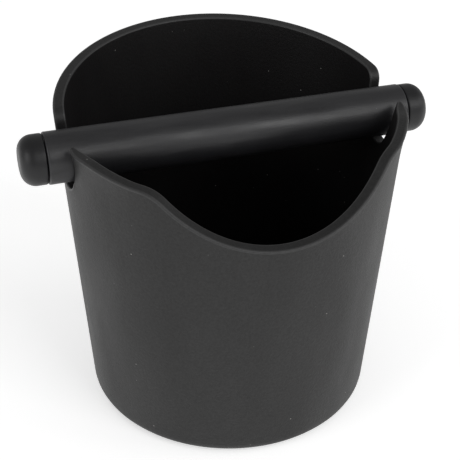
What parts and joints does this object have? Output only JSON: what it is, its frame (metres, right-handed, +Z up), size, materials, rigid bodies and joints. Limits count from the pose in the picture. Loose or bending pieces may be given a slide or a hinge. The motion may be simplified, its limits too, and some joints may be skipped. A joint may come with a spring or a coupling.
{
  "type": "espresso knock box",
  "caption": "Tapered round bucket with a high back and a scooped front; a rubber-covered knocking bar lies across it in open slots and lifts out.",
  "frame": {"origin": "on the bucket's axis, on the underside of the base pad, which is the surface that it stands on", "axes": "+Z up, -Y to the scooped front, +X to the right as seen from the front, along the bar"},
  "size_m": [0.174, 0.1426, 0.1474],
  "materials": {
    "bucket_plastic": "satin moulded plastic with a fine grain",
    "pad_rubber": "matt",
    "tube_steel": "drawn tube",
    "bar_rubber": "smooth satin",
    "cap_plastic": "satin"
  },
  "bodies": {
    "bucket": {"bucket": "bucket_plastic", "base_pad": "pad_rubber"},
    "bar": {"bar_tube": "tube_steel"},
    "bar_cover": {"bar_sleeve": "bar_rubber", "left_end_cap": "cap_plastic", "right_end_cap": "cap_plastic"}
  },
  "joints": [
    {"name": "bar_lift", "type": "slide", "parent": "bucket", "child": "bar", "axis": [0, 0, 1], "range_m": [0, 0.045]},
    {"name": "bar_turn", "type": "hinge", "parent": "bar", "child": "bar_cover", "pos_m": [-0.0013, -0.0037, 0.1239], "axis": [1, 0, 0], "continuous": true}
  ]
}
